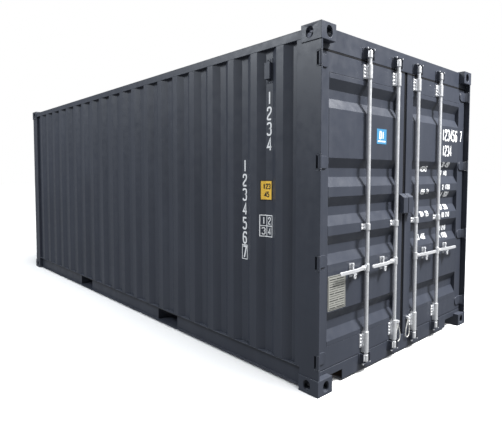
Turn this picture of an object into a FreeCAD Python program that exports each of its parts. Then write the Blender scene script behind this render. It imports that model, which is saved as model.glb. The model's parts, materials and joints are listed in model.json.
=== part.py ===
import FreeCAD, Part
import math
import os

# A twenty-foot steel dry-freight container, in millimetres.
#
# X runs across the container, Y along it with the doors at -Y, and Z up. The origin is the
# middle of the base, on the plane of the four bottom corner castings' lower faces.
#
# Every piece is first made for the left side (-X, seen from outside the doors) and mirrored.
# "a" is a distance in from the left side plane, "d" a distance in from the door end plane,
# and "f" a distance in from the front end plane.

# ---- Overall sizes
LENGTH = 6058.0
WIDTH = 2438.0
HEIGHT = 2591.0

# ---- Corner castings
CASTING_LONG = 178.0
CASTING_WIDE = 162.0
CASTING_TALL = 118.0
CASTING_SIDE_WALL = 15.0
CASTING_SLOT_WALL = 28.5
CASTING_BACK_WALL = 12.0
SLOT_LONG = 124.5
SLOT_WIDE = 63.5
SLOT_FROM_END = 102.5
SLOT_FROM_SIDE = 89.5
SIDE_HOLE_WIDE = 63.5
SIDE_HOLE_TALL = 79.5

# ---- Steel sections
INSET = 7.0                    # posts, rails and walls stand back this far from the castings
POST_WALL = 6.0
DOOR_POST_DEEP = 222.0
DOOR_POST_LIP = 15.0
DOOR_POST_LIP_BACK = 2.0
JAMB_WIDE = 36.0
JAMB_WALL = 4.0
FRONT_POST_DEEP = 182.0
FRONT_POST_WIDE = 99.0
FRONT_POST_RETURN = 53.0
WALL_RETURN = 43.0
RAIL_TUBE = 60.0
RAIL_TUBE_WALL = 3.0
RAIL_TOP_DROP = 28.0           # top of the top rails below the castings
BASE_CLEAR = 17.0              # underside of the base frame above the castings' lower faces
RAIL_TALL = 155.0
RAIL_TOP_FLANGE = 48.0
RAIL_BOTTOM_FLANGE = 30.0
RAIL_WALL = 4.5
SHEET = 2.0

# ---- Corrugations of the side walls, the front wall and the roof
WALL_PITCH = 278.0
WALL_CREST = 72.0
WALL_SLOPE = 68.0
WALL_DEEP = 36.0
WALL_SET_BACK = 1.0            # crests behind the rails' outer faces
FRONT_PITCH = 250.0
FRONT_CREST = 110.0
FRONT_SLOPE = 18.0
FRONT_DEEP = 45.0
ROOF_PITCH = 209.0
ROOF_CREST = 91.0
ROOF_SLOPE = 15.0
ROOF_DEEP = 18.0
ROOF_END_FLAT = 440.0          # flat sheet at each end of the roof
ROOF_SIDE_FLAT = 107.0         # flat sheet over and beside each top rail
CORNER_PLATE_THICK = 3.0
CORNER_PLATE_LONG = 235.0
CORNER_PLATE_WIDE = 260.0

# ---- Base frame and floor
CROSS_TALL = 122.0
CROSS_WIDE = 45.0
CROSS_WALL = 4.0
CROSS_GAP = 300.0              # widest spacing of the cross members
POCKET_CENTRE = 1025.0
POCKET_WIDE = 360.0
POCKET_TALL = 115.0
POCKET_WALL = 4.5
POCKET_STRAP = 4.0
POCKET_STRAP_LONG = 200.0
FLOOR_THICK = 28.0
FLOOR_GAP = 2.0
FLOOR_BOARDS_LONG = 3
FLOOR_SIDE_GAP = 3.0

# ---- Door opening: header, sill, and the stop that the seals close on
LEAF_FACE = 50.0               # outer face of the closed doors behind the end plane
LEAF_THICK = 50.0
SEAL_THICK = 9.0
RUN_GAP = 6.0                  # running gap between a door and the frame around it
FRAME_WALL = 6.0
SILL_TOP = 150.0
SILL_FLANGE_DEEP = 100.0
THRESHOLD_DEEP = 100.0
SILL_NOTCH_LONG = 189.0
SILL_NOTCH_TALL = 76.0
HEADER_DROP = 9.0              # top of the header below the castings
HEADER_TALL = 152.0
STOP_DROP = 25.0               # the header's stop below its outer face
STOP_DEEP = 60.0

# ---- Door leaves
LEAF_EDGE = 27.0               # hinge-side edge of a leaf in from the side plane
CENTRE_HALF_GAP = 22.0
OUTER_STILE = 130.0
INNER_STILE = 108.0
TOP_MEMBER = 149.0
BOTTOM_MEMBER = 159.0
GROOVE_DEEP = 36.0
GROOVE_FLAT = 65.0
GROOVE_SLOPE = 72.0
PANEL_BAYS = 7
GROOVED_BAYS = (0, 2, 3, 4, 6)
SEAL_WIDE = 60.0
SEAL_CENTRE_GAP = 8.0

# ---- Door hinges
PIN_IN = 14.0                  # hinge pins in from the side plane and from the door end plane
PIN_RADIUS = 8.0
KNUCKLE_RADIUS = 13.0
PIN_FIT = 0.3
HINGE_TALL = 88.0
HINGE_FROM_LOW = 90.0          # lowest hinge above the leaf's lower edge
HINGE_FROM_HIGH = 78.0
HINGE_COUNT = 4
LUG_THICK = 10.0
LUG_GAP = 1.0
LUG_REACH = 42.0
BLADE_THICK = 8.0
BLADE_LONG = 122.0

# ---- Lock bars, their brackets, cams and keepers
BAR_PLACES = (596.0, 172.0)    # bars out from the middle of the door end
BAR_RADIUS = 16.0
BAR_DEPTH = 25.0
BAR_BELOW_SILL = 66.0          # bar ends beyond the sill's top and the header's lower edge
BAR_ABOVE_HEADER = 76.0
BAR_FIT = 0.3
BRACKET_RADIUS = 22.0
BRACKET_PLATE = 5.0
BRACKET_HALF = 52.0
BRACKET_TALL = 106.0
TOP_BRACKET_DROP = 28.0        # below the leaf's upper edge
BOTTOM_BRACKET_RISE = 45.0     # above the leaf's lower edge
SLEEVE_BELOW = 41.0            # the bottom bracket's saddle runs on past its plate
SLEEVE_ABOVE = 19.0
MIDDLE_BRACKET_TALL = 48.0
MIDDLE_BRACKET_BAY = 3         # the level part of the panel under this bay
CAM_RADIUS = 20.0
CAM_TALL = 50.0
CAM_FROM_END = 8.0
CAM_NOSE = 36.0
CAM_NOSE_THICK = 12.0
KEEPER_HALF = 50.0
KEEPER_THICK = 8.0
KEEPER_TALL = 86.0
KEEPER_FOOT = 14.0
KEEPER_FOOT_THICK = 5.0
KEEPER_FRONT = 12.0
KEEPER_GAP = 6.0

# ---- Handles and their catches
HANDLE_BAY = 2                 # the handles lie just below this bay of the panel
HANDLE_DROP = 40.0
HANDLE_TALL = 26.0
HANDLE_THICK = 12.0
HANDLE_REACH = 370.0
HANDLE_BEND_START = 105.0
HANDLE_BEND_END = 155.0
HANDLE_FRONT = 2.0             # front of the handle's outer part behind the end plane
HUB_RADIUS = 20.0
HUB_TALL = 60.0
PIVOT_OUT = 46.0
PIVOT_RADIUS = 6.0
PIVOT_EYE = 17.0
PIVOT_HEAD = 10.0
PIVOT_HEAD_THICK = 3.0
HUB_LUG_THICK = 10.0
HUB_LUG_TALL = 36.0
SMALL_GAP = 1.0
CATCH_OUT = 184.0
CATCH_WIDE = 44.0
CATCH_BELOW = 55.0             # the catch's plate below and above the handle's middle
CATCH_ABOVE = 60.0
CATCH_PLATE = 5.0
CATCH_LEDGE = 12.0
CATCH_GAP = 5.5

# ---- Tie rope of each leaf, hung beside the inner bar's bottom bracket
ROPE_RADIUS = 4.0
ROPE_DEPTH = 36.0
ROPE_ARC_SHARE = 0.45          # of the shorter run, taken up by the arc at its end
ROPE_ROUTE = (                 # out from the inner bar towards the other leaf, and up from the leaf's edge
    (78, 126), (78, 102), (71, 70), (61, 38), (60, 3), (62, -21), (77, -39),
    (101, -42), (120, -28), (124, -3), (119, 30), (108, 63), (92, 98), (92, 126),
)
CLEAT_TALL = 18.0
CLEAT_EDGE = 8.0               # cleat beyond the middles of the rope's two ends

# ---- Lock box, data plate and ventilators
BOX_HALF_GAP = 4.0
BOX_OUT = 80.0
BOX_RISE = 395.0               # above the handles' middle
BOX_TALL = 135.0
BOX_BACK_TALL = 167.0
BOX_FRONT = 5.0
BOX_WALL = 4.0
PLATE_WIDE = 213.0
PLATE_TALL = 255.0
PLATE_DROP = 10.0              # below the handles' middle
PLATE_EDGE = 7.0               # plate's edge in from the door stile
PLATE_THICK = 2.0
VENT_DROP = 66.0               # below the top rail
VENT_TALL = 183.0
VENT_OVERHANG = 15.0           # cover wider than its seat in the trough, on each side
VENT_FRONT = 14.0
VENT_FIT = 1.0

HALF_W = WIDTH / 2
HALF_L = LENGTH / 2
TOP_LOW = HEIGHT - CASTING_TALL            # underside of the top castings
RAIL_TOP = HEIGHT - RAIL_TOP_DROP
RAIL_LOW = RAIL_TOP - RAIL_TUBE
BOTTOM_RAIL_TOP = BASE_CLEAR + RAIL_TALL
FLOOR_LOW = BASE_CLEAR + CROSS_TALL
FLOOR_TOP = FLOOR_LOW + FLOOR_THICK
STOP_FACE = LEAF_FACE + LEAF_THICK + SEAL_THICK + RUN_GAP
HEADER_HIGH = HEIGHT - HEADER_DROP
HEADER_LOW = HEADER_HIGH - HEADER_TALL
LEAF_LOW = SILL_TOP + RUN_GAP
LEAF_HIGH = HEADER_LOW - RUN_GAP
PANEL_LOW = LEAF_LOW + BOTTOM_MEMBER
PANEL_HIGH = LEAF_HIGH - TOP_MEMBER
BAY = (PANEL_HIGH - PANEL_LOW) / PANEL_BAYS
HANDLE_HEIGHT = PANEL_LOW + HANDLE_BAY * BAY - HANDLE_DROP
BAR_LOW = SILL_TOP - BAR_BELOW_SILL
BAR_HIGH = HEADER_LOW + BAR_ABOVE_HEADER
WEB_INNER = INSET + RAIL_TOP_FLANGE        # inner face of the bottom side rails' webs
JAMB_INNER = INSET + POST_WALL + JAMB_WIDE
CREST_FACE = INSET + WALL_SET_BACK
TROUGH_FACE = CREST_FACE + WALL_DEEP
HINGE_LOW = LEAF_LOW + HINGE_FROM_LOW
HINGE_PITCH = (LEAF_HIGH - HINGE_FROM_HIGH - HINGE_LOW) / (HINGE_COUNT - 1)
HINGE_HEIGHTS = [HINGE_LOW + HINGE_PITCH * k for k in range(HINGE_COUNT)]


def left(a):
    return a - HALF_W


def door(d):
    return d - HALF_L


def front(f):
    return HALF_L - f


def vector(x, y, z):
    return FreeCAD.Vector(x, y, z)


def box(x0, x1, y0, y1, z0, z1):
    corner = vector(min(x0, x1), min(y0, y1), min(z0, z1))
    return Part.makeBox(abs(x1 - x0), abs(y1 - y0), abs(z1 - z0), corner)


def prism(points, direction):
    """A straight prism on a closed outline of 3-D points."""
    corners = [vector(*point) for point in points]
    outline = Part.makePolygon(corners + corners[:1])
    return Part.Face(outline).extrude(direction)


def upright(points, z0, z1):
    return prism([(x, y, z0) for x, y in points], vector(0, 0, z1 - z0))


def crosswise(points, x0, x1):
    return prism([(x0, y, z) for y, z in points], vector(x1 - x0, 0, 0))


def rod(x, y, z0, z1, radius):
    return Part.makeCylinder(radius, z1 - z0, vector(x, y, z0))


def join(shapes):
    return shapes[0].multiFuse(shapes[1:]).removeSplitter()


def mirrored(shape):
    """The same piece on the right side of the container."""
    return shape.mirror(vector(0, 0, 0), vector(1, 0, 0))


def both_sides(shape):
    return [shape, mirrored(shape)]


def corner_blocks(low, high):
    """The space that the four castings between two heights take up."""
    blocks = []
    for end in (-1, 1):
        block = box(left(0), left(CASTING_WIDE), end * HALF_L, end * (HALF_L - CASTING_LONG), low, high)
        blocks += both_sides(block)
    return blocks


def corrugated(start, stop, centres, crest, slope, crest_at, trough_at):
    """Outline of a corrugated sheet: (along, depth) points, its outer side first."""
    outer = [(start, trough_at)]
    for centre in centres:
        outer.append((centre - crest / 2 - slope, trough_at))
        outer.append((centre - crest / 2, crest_at))
        outer.append((centre + crest / 2, crest_at))
        outer.append((centre + crest / 2 + slope, trough_at))
    outer.append((stop, trough_at))
    inner = [(along, depth + SHEET) for along, depth in reversed(outer)]
    return outer + inner


def pattern(length, pitch):
    """Centres of the corrugations that fit on a length, either side of its middle."""
    count = int(length // pitch)
    return [(k - (count - 1) / 2) * pitch for k in range(count)]


def evenly(start, stop, widest):
    """Places between two ends, spaced evenly and no wider apart than the widest spacing."""
    bays = math.ceil((stop - start) / widest)
    return [start + (stop - start) * k / bays for k in range(1, bays)]


# ---- Corner castings

def oblong(wide, tall, depth):
    """A slot, long along Z and cut along Y from 0, with round ends."""
    radius = wide / 2
    straight = tall / 2 - radius
    pieces = [box(-radius, radius, 0, depth, -straight, straight)]
    for end in (-straight, straight):
        pieces.append(Part.makeCylinder(radius, depth, vector(0, 0, end), vector(0, 1, 0)))
    return join(pieces)


def bottom_casting():
    """The left casting at the door end: a hollow block with three slots."""
    block = box(left(0), left(CASTING_WIDE), door(0), door(CASTING_LONG), 0, CASTING_TALL)
    hollow = box(left(CASTING_SIDE_WALL), left(CASTING_WIDE - CASTING_BACK_WALL),
                 door(CASTING_SIDE_WALL), door(CASTING_LONG - CASTING_BACK_WALL),
                 CASTING_SLOT_WALL, CASTING_TALL - CASTING_BACK_WALL)
    reach = CASTING_SIDE_WALL + 1
    end_hole = oblong(SIDE_HOLE_WIDE, SIDE_HOLE_TALL, reach)
    end_hole.translate(vector(left(SLOT_FROM_SIDE), door(-0.5), CASTING_TALL / 2))
    side_hole = oblong(SIDE_HOLE_WIDE, SIDE_HOLE_TALL, reach)
    side_hole.rotate(vector(0, 0, 0), vector(0, 0, 1), -90)
    side_hole.translate(vector(left(-0.5), door(SLOT_FROM_END), CASTING_TALL / 2))
    base_slot = oblong(SLOT_WIDE, SLOT_LONG, CASTING_SLOT_WALL + 1)
    base_slot.rotate(vector(0, 0, 0), vector(1, 0, 0), 90)
    base_slot.translate(vector(left(SLOT_FROM_SIDE), door(SLOT_FROM_END), -0.5))
    return block.cut(hollow).cut(end_hole).cut(side_hole).cut(base_slot)


def four_corners(shape):
    far = shape.mirror(vector(0, 0, 0), vector(0, 1, 0))
    return Part.makeCompound(both_sides(shape) + both_sides(far))


def bottom_corner_castings():
    return four_corners(bottom_casting())


def top_corner_castings():
    turned = bottom_casting().mirror(vector(0, 0, HEIGHT / 2), vector(0, 0, 1))
    return four_corners(turned)


# ---- Posts and rails

def trim_post(post, end):
    """Cuts a post round the castings above and below it and round the bottom rail."""
    behind = end * (HALF_L - CASTING_LONG)
    inward = -end * LENGTH / 2
    over_rail = box(left(0), left(HALF_W), behind, behind + inward, 0, BOTTOM_RAIL_TOP)
    return post.cut(over_rail).cut(box(left(0), left(HALF_W), end * HALF_L, behind, TOP_LOW, HEIGHT))


def hinge_notch(height):
    half = HINGE_TALL / 2 + LUG_GAP + LUG_THICK
    return box(left(0), left(INSET + POST_WALL + DOOR_POST_LIP), door(0), door(LUG_REACH),
               height - half, height + half)


def door_post():
    outer = INSET + POST_WALL
    plate = box(left(INSET), left(outer), door(DOOR_POST_LIP_BACK), door(DOOR_POST_DEEP),
                CASTING_TALL, RAIL_LOW)
    lip = box(left(INSET), left(INSET + DOOR_POST_LIP), door(DOOR_POST_LIP_BACK),
              door(DOOR_POST_LIP_BACK + POST_WALL), CASTING_TALL, RAIL_LOW)
    jamb = box(left(INSET), left(JAMB_INNER), door(STOP_FACE), door(DOOR_POST_DEEP),
               CASTING_TALL, RAIL_LOW)
    hollow = box(left(outer), left(JAMB_INNER - JAMB_WALL), door(STOP_FACE + JAMB_WALL),
                 door(DOOR_POST_DEEP - JAMB_WALL), CASTING_TALL, RAIL_LOW)
    post = join([plate, lip, jamb]).cut(hollow)
    for height in HINGE_HEIGHTS:
        post = post.cut(hinge_notch(height))
    return trim_post(post, -1)


def front_post():
    outer = INSET + POST_WALL
    edge = outer + FRONT_POST_WIDE - POST_WALL
    side = box(left(INSET), left(outer), front(INSET), front(FRONT_POST_DEEP), CASTING_TALL, RAIL_LOW)
    face = box(left(INSET), left(edge), front(INSET), front(outer), CASTING_TALL, RAIL_LOW)
    end_return = box(left(edge - POST_WALL), left(edge), front(INSET),
                     front(INSET + FRONT_POST_RETURN), CASTING_TALL, RAIL_LOW)
    wall_return = box(left(INSET), left(INSET + WALL_RETURN), front(FRONT_POST_DEEP - POST_WALL),
                      front(FRONT_POST_DEEP), CASTING_TALL, RAIL_LOW)
    return trim_post(join([side, face, end_return, wall_return]), 1)


def top_side_rail():
    ends = HALF_L - CASTING_LONG
    wall = RAIL_TUBE_WALL
    tube = box(left(INSET), left(INSET + RAIL_TUBE), -ends, ends, RAIL_LOW, RAIL_TOP)
    bore = box(left(INSET + wall), left(INSET + RAIL_TUBE - wall), -ends, ends,
               RAIL_LOW + wall, RAIL_TOP - wall)
    return tube.cut(bore)


def pocket_edges():
    """Near and far side of each fork pocket along the container."""
    return [(centre - POCKET_WIDE / 2, centre + POCKET_WIDE / 2)
            for centre in (-POCKET_CENTRE, POCKET_CENTRE)]


def bottom_side_rail():
    """A channel open to the outside, let through for the fork pockets."""
    ends = HALF_L - CASTING_LONG
    top = box(left(INSET), left(WEB_INNER), -ends, ends, BOTTOM_RAIL_TOP - RAIL_WALL, BOTTOM_RAIL_TOP)
    web = box(left(WEB_INNER - RAIL_WALL), left(WEB_INNER), -ends, ends, BASE_CLEAR, BOTTOM_RAIL_TOP)
    foot = box(left(WEB_INNER - RAIL_BOTTOM_FLANGE), left(WEB_INNER), -ends, ends,
               BASE_CLEAR, BASE_CLEAR + POCKET_STRAP)
    rail = join([top, web, foot])
    low = BASE_CLEAR + POCKET_STRAP
    for near, far in pocket_edges():
        rail = rail.cut(box(left(0), left(CASTING_WIDE), near, far, low, low + POCKET_TALL))
    return rail


def front_top_rail():
    ends = HALF_W - CASTING_WIDE
    wall = RAIL_TUBE_WALL
    tube = box(-ends, ends, front(INSET), front(INSET + RAIL_TUBE), RAIL_LOW, RAIL_TOP)
    bore = box(-ends, ends, front(INSET + wall), front(INSET + RAIL_TUBE - wall),
               RAIL_LOW + wall, RAIL_TOP - wall)
    return tube.cut(bore)


def front_bottom_rail():
    """A channel open to the inside, under the front wall."""
    edge = HALF_W - INSET - FRONT_POST_WIDE
    inner = front(INSET + RAIL_TUBE)
    web = box(-edge, edge, front(INSET), front(INSET + RAIL_WALL), BASE_CLEAR, BOTTOM_RAIL_TOP)
    top = box(-edge, edge, front(INSET), inner, BOTTOM_RAIL_TOP - RAIL_WALL, BOTTOM_RAIL_TOP)
    foot = box(-edge, edge, front(INSET), inner, BASE_CLEAR, BASE_CLEAR + RAIL_WALL)
    rail = join([web, top, foot])
    return rail.cut(Part.makeCompound(corner_blocks(0, CASTING_TALL)))


# ---- Walls and roof

def wall_crests():
    return pattern(2 * min(HALF_L - DOOR_POST_DEEP, HALF_L - FRONT_POST_DEEP), WALL_PITCH)


def side_wall():
    outline = corrugated(door(DOOR_POST_DEEP), front(FRONT_POST_DEEP), wall_crests(),
                         WALL_CREST, WALL_SLOPE, CREST_FACE, TROUGH_FACE)
    return upright([(left(a), y) for y, a in outline], BOTTOM_RAIL_TOP, RAIL_LOW)


def front_wall():
    edge = HALF_W - INSET - FRONT_POST_WIDE
    crest_at = INSET + WALL_SET_BACK
    centres = pattern(2 * edge - FRONT_CREST, FRONT_PITCH)
    outline = corrugated(-edge, edge, centres, FRONT_CREST, FRONT_SLOPE, crest_at, crest_at + FRONT_DEEP)
    sheet = upright([(x, front(f)) for x, f in outline], BOTTOM_RAIL_TOP, RAIL_LOW)
    return sheet.cut(Part.makeCompound(corner_blocks(TOP_LOW, HEIGHT)))


def frustum(half_x, half_y, slope, y, z0, z1):
    """A flat-topped ridge with four sloping sides, centred on x = 0."""
    base = [(-half_x, -half_y), (half_x, -half_y), (half_x, half_y), (-half_x, half_y)]
    low = [vector(px, y + py, z0) for px, py in base]
    high = [vector(px - math.copysign(slope, px), y + py - math.copysign(slope, py), z1) for px, py in base]
    faces = [Part.Face(Part.makePolygon(low + low[:1])), Part.Face(Part.makePolygon(high + high[:1]))]
    for k in range(4):
        n = (k + 1) % 4
        faces.append(Part.Face(Part.makePolygon([low[k], low[n], high[n], high[k], low[k]])))
    return Part.makeSolid(Part.makeShell(faces))


def roof_panel():
    half_x = HALF_W - INSET
    ridge_x = half_x - ROOF_SIDE_FLAT
    ridge_y = ROOF_CREST / 2 + ROOF_SLOPE
    sheet = box(-half_x, half_x, door(STOP_FACE), front(INSET), RAIL_TOP, RAIL_TOP + SHEET)
    sheet = sheet.cut(Part.makeCompound(corner_blocks(TOP_LOW, HEIGHT)))
    ridges = []
    hollows = []
    for y in pattern(2 * (HALF_L - ROOF_END_FLAT), ROOF_PITCH):
        ridges.append(frustum(ridge_x, ridge_y, ROOF_SLOPE, y, RAIL_TOP, RAIL_TOP + SHEET + ROOF_DEEP))
        hollows.append(frustum(ridge_x - SHEET, ridge_y - SHEET, ROOF_SLOPE, y,
                               RAIL_TOP, RAIL_TOP + ROOF_DEEP))
    return sheet.multiFuse(ridges).cut(Part.makeCompound(hollows))


def roof_corner_plates():
    low = RAIL_TOP + SHEET
    near = CASTING_LONG + RUN_GAP
    plate = box(left(INSET + RUN_GAP), left(INSET + RUN_GAP + CORNER_PLATE_WIDE), door(near),
                door(near + CORNER_PLATE_LONG), low, low + CORNER_PLATE_THICK)
    return four_corners(plate)


# ---- Base frame and floor

def cross_members():
    inner = HALF_W - WEB_INNER
    width = CROSS_WIDE
    (near_1, far_1), (near_2, far_2) = pocket_edges()
    start = door(STOP_FACE + THRESHOLD_DEEP)
    stop = front(INSET + RAIL_TUBE)
    bays = [(start, near_1), (far_1, near_2), (far_2, stop)]
    members = []
    for begin, end in bays:
        for y in evenly(begin, end, CROSS_GAP):
            web = box(-inner, inner, y, y + CROSS_WALL, BASE_CLEAR, FLOOR_LOW)
            top = box(-inner, inner, y, y + width, FLOOR_LOW - CROSS_WALL, FLOOR_LOW)
            foot = box(-inner, inner, y, y + width, BASE_CLEAR, BASE_CLEAR + CROSS_WALL)
            members.append(join([web, top, foot]))
    return Part.makeCompound(members)


def fork_pockets():
    """Two tunnels across the base, with straps under their mouths."""
    inner = HALF_W - WEB_INNER
    roof = BASE_CLEAR + POCKET_STRAP + POCKET_TALL
    pockets = []
    for near, far in pocket_edges():
        pieces = [box(-inner, inner, near - POCKET_WALL, near, BASE_CLEAR, FLOOR_LOW)]
        pieces.append(box(-inner, inner, far, far + POCKET_WALL, BASE_CLEAR, FLOOR_LOW))
        pieces.append(box(-inner, inner, near, far, roof, FLOOR_LOW))
        strap = box(-inner, POCKET_STRAP_LONG - inner, near, far, BASE_CLEAR, BASE_CLEAR + POCKET_STRAP)
        pieces += both_sides(strap)
        pockets.append(join(pieces))
    return Part.makeCompound(pockets)


def floor_boards():
    edge = HALF_W - WEB_INNER - FLOOR_SIDE_GAP
    start = door(STOP_FACE + THRESHOLD_DEEP) + FLOOR_GAP
    stop = front(INSET + RAIL_TUBE) - FLOOR_GAP
    pitch = (stop - start + FLOOR_GAP) / FLOOR_BOARDS_LONG
    boards = []
    for k in range(FLOOR_BOARDS_LONG):
        near = start + k * pitch
        board = box(-edge, -FLOOR_GAP / 2, near, near + pitch - FLOOR_GAP, FLOOR_LOW, FLOOR_TOP)
        boards += both_sides(board)
    return Part.makeCompound(boards)


# ---- Door opening

def beside_jambs():
    """The space of the jambs and what lies outside them, behind the stop face."""
    back = door(2 * DOOR_POST_DEEP)
    return both_sides(box(left(0), left(JAMB_INNER), door(STOP_FACE), back, 0, HEIGHT))


def door_sill():
    wall = FRAME_WALL
    outer = HALF_W - INSET - POST_WALL
    face = LEAF_FACE
    stop = STOP_FACE
    back = STOP_FACE + THRESHOLD_DEEP
    profile = [(face, BASE_CLEAR), (face, SILL_TOP), (stop, SILL_TOP), (stop, FLOOR_TOP),
               (back, FLOOR_TOP), (back, FLOOR_TOP - wall), (stop + wall, FLOOR_TOP - wall),
               (stop + wall, SILL_TOP - wall), (face + wall, SILL_TOP - wall),
               (face + wall, BASE_CLEAR + wall), (face + SILL_FLANGE_DEEP, BASE_CLEAR + wall),
               (face + SILL_FLANGE_DEEP, BASE_CLEAR)]
    sill = crosswise([(door(d), z) for d, z in profile], -outer, outer)
    notch = box(left(CASTING_WIDE), left(CASTING_WIDE + SILL_NOTCH_LONG), door(face),
                door(face + SILL_FLANGE_DEEP), BASE_CLEAR, BASE_CLEAR + SILL_NOTCH_TALL)
    beside_rails = box(left(0), left(WEB_INNER), door(CASTING_LONG), door(2 * DOOR_POST_DEEP), 0, HEIGHT)
    cutters = corner_blocks(0, CASTING_TALL) + beside_jambs()
    for cutter in cutters + both_sides(notch) + both_sides(beside_rails):
        sill = sill.cut(cutter)
    return sill


def door_header():
    wall = FRAME_WALL
    outer = HALF_W - INSET - POST_WALL
    face = LEAF_FACE
    stop = STOP_FACE
    back = STOP_FACE + STOP_DEEP
    fore = box(-outer, outer, door(face), door(stop), HEADER_LOW, HEADER_HIGH)
    stop_low = HEADER_LOW - STOP_DROP
    rear = box(-outer, outer, door(stop), door(back), stop_low, RAIL_TOP)
    fore_bore = box(-outer, outer, door(face + wall), door(stop - wall),
                    HEADER_LOW + wall, HEADER_HIGH - wall)
    rear_bore = box(-outer, outer, door(stop + wall), door(back - wall), stop_low + wall, RAIL_TOP - wall)
    header = join([fore, rear]).cut(fore_bore).cut(rear_bore)
    rail = box(left(INSET), left(INSET + RAIL_TUBE), door(CASTING_LONG), 0, RAIL_LOW, RAIL_TOP)
    header = header.cut(Part.makeCompound(both_sides(rail)))
    return header.cut(Part.makeCompound(corner_blocks(TOP_LOW, HEIGHT) + beside_jambs()))


# ---- Door leaves, made as the left leaf

LEAF_OUT = left(LEAF_EDGE)
LEAF_IN = -CENTRE_HALF_GAP
OPEN_OUT = LEAF_OUT + OUTER_STILE
OPEN_IN = LEAF_IN - INNER_STILE


def leaf_frame():
    face = door(LEAF_FACE)
    back = door(LEAF_FACE + LEAF_THICK)
    whole = box(LEAF_OUT, LEAF_IN, face, back, LEAF_LOW, LEAF_HIGH)
    return whole.cut(box(OPEN_OUT, OPEN_IN, face, back, PANEL_LOW, PANEL_HIGH))


def leaf_panel():
    """The leaf's sheet, flush with the frame and pressed inwards in level grooves."""
    outer = [(PANEL_LOW, LEAF_FACE)]
    for bay in GROOVED_BAYS:
        centre = PANEL_LOW + (bay + 0.5) * BAY
        half = GROOVE_FLAT / 2
        outer.append((centre - half - GROOVE_SLOPE, LEAF_FACE))
        outer.append((centre - half, LEAF_FACE + GROOVE_DEEP))
        outer.append((centre + half, LEAF_FACE + GROOVE_DEEP))
        outer.append((centre + half + GROOVE_SLOPE, LEAF_FACE))
    outer.append((PANEL_HIGH, LEAF_FACE))
    outline = outer + [(z, d + SHEET) for z, d in reversed(outer)]
    return crosswise([(door(d), z) for z, d in outline], OPEN_OUT, OPEN_IN)


def leaf_seal():
    """A rubber ring on the leaf's inner face, which closes on the stop."""
    near = door(LEAF_FACE + LEAF_THICK)
    far = near + SEAL_THICK
    whole = box(LEAF_OUT, -SEAL_CENTRE_GAP, near, far, LEAF_LOW, LEAF_HIGH)
    return whole.cut(box(LEAF_OUT + SEAL_WIDE, LEAF_IN - SEAL_WIDE, near, far,
                         LEAF_LOW + SEAL_WIDE, LEAF_HIGH - SEAL_WIDE))


def hinge_blades():
    """A knuckle on each hinge pin, with a blade that runs in over the leaf's face."""
    pin_x = left(PIN_IN)
    pin_y = door(PIN_IN)
    root = door(LEAF_FACE)
    fore = root - BLADE_THICK
    half = HINGE_TALL / 2
    tip = BLADE_LONG - half
    blades = []
    for height in HINGE_HEIGHTS:
        low = height - half
        knuckle = rod(pin_x, pin_y, low, low + HINGE_TALL, KNUCKLE_RADIUS)
        neck = upright([(pin_x, pin_y + KNUCKLE_RADIUS), (pin_x + KNUCKLE_RADIUS, pin_y),
                        (LEAF_OUT + KNUCKLE_RADIUS, fore), (LEAF_OUT + KNUCKLE_RADIUS, root),
                        (LEAF_OUT, root)], low, low + HINGE_TALL)
        strap = box(LEAF_OUT + KNUCKLE_RADIUS, LEAF_OUT + tip, fore, root, low, low + HINGE_TALL)
        end = Part.makeCylinder(half, BLADE_THICK, vector(LEAF_OUT + tip, fore, height), vector(0, 1, 0))
        blade = join([knuckle, neck, strap, end])
        blades.append(blade.cut(rod(pin_x, pin_y, low, low + HINGE_TALL, PIN_RADIUS + PIN_FIT)))
    return Part.makeCompound(blades)


def hinge_lugs():
    """Two lugs on the door post and the pin between them, at each hinge."""
    pin_x = left(PIN_IN)
    pin_y = door(PIN_IN)
    half = HINGE_TALL / 2 + LUG_GAP
    lugs = []
    for height in HINGE_HEIGHTS:
        pieces = [rod(pin_x, pin_y, height - half, height + half, PIN_RADIUS)]
        for low in (height - half - LUG_THICK, height + half):
            pieces.append(rod(pin_x, pin_y, low, low + LUG_THICK, KNUCKLE_RADIUS))
            pieces.append(box(left(INSET), pin_x + KNUCKLE_RADIUS, pin_y, door(LUG_REACH),
                              low, low + LUG_THICK))
        lugs += both_sides(join(pieces))
    return Part.makeCompound(lugs)


# ---- Lock gear of one leaf

def bar_bracket(x, low, high, below=0, above=0):
    """A plate on the leaf with a saddle over the bar, which may run on past the plate."""
    face = door(LEAF_FACE)
    axis = door(BAR_DEPTH)
    plate = box(x - BRACKET_HALF, x + BRACKET_HALF, face - BRACKET_PLATE, face, low, high)
    saddle = rod(x, axis, low - below, high + above, BRACKET_RADIUS)
    foot = box(x - BRACKET_RADIUS, x + BRACKET_RADIUS, axis, face, low - below, high + above)
    bore = rod(x, axis, low - below, high + above, BAR_RADIUS + BAR_FIT)
    return join([plate, saddle, foot]).cut(bore)


def bar_brackets():
    top = LEAF_HIGH - TOP_BRACKET_DROP
    bottom = LEAF_LOW + BOTTOM_BRACKET_RISE
    middle = PANEL_LOW + MIDDLE_BRACKET_BAY * BAY
    half = MIDDLE_BRACKET_TALL / 2
    brackets = []
    for place in BAR_PLACES:
        brackets.append(bar_bracket(-place, top - BRACKET_TALL, top))
        brackets.append(bar_bracket(-place, middle - half, middle + half))
        brackets.append(bar_bracket(-place, bottom, bottom + BRACKET_TALL, SLEEVE_BELOW, SLEEVE_ABOVE))
    return Part.makeCompound(brackets + [rope_cleat()])


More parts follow.
